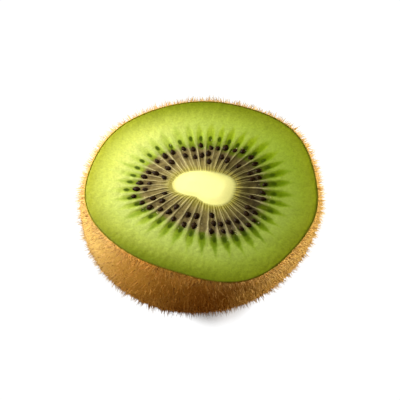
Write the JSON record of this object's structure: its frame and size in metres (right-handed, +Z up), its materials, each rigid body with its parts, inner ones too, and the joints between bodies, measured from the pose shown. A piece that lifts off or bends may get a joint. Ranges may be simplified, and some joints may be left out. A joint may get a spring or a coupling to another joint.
{
  "type": "kiwi fruit half",
  "caption": "Half of a kiwi fruit, cut across, standing on its stem end with the green cut face, pale core, rays and dark seeds up and a furry brown skin round it.",
  "frame": {"origin": "on the ground under the middle of the fruit's outline, on the flat of the stem scar that it stands on", "axes": "+X along the cut face's longer width, +Y along its shorter width, +Z up out of the cut face"},
  "size_m": [0.0558, 0.0498, 0.032],
  "materials": {
    "flesh": "moist, slightly see-through green flesh with fine grain, paler rays and darker green streaks round the core",
    "core": "smooth cream core, lightly moist",
    "skin": "thin brown skin, dull and finely mottled",
    "fuzz": "short golden-tan down with a soft sheen",
    "seed": "near-black, wet and shiny",
    "scar": "dry woody stem scar"
  },
  "bodies": {
    "root": {"kiwi_half": "flesh"}
  },
  "joints": []
}
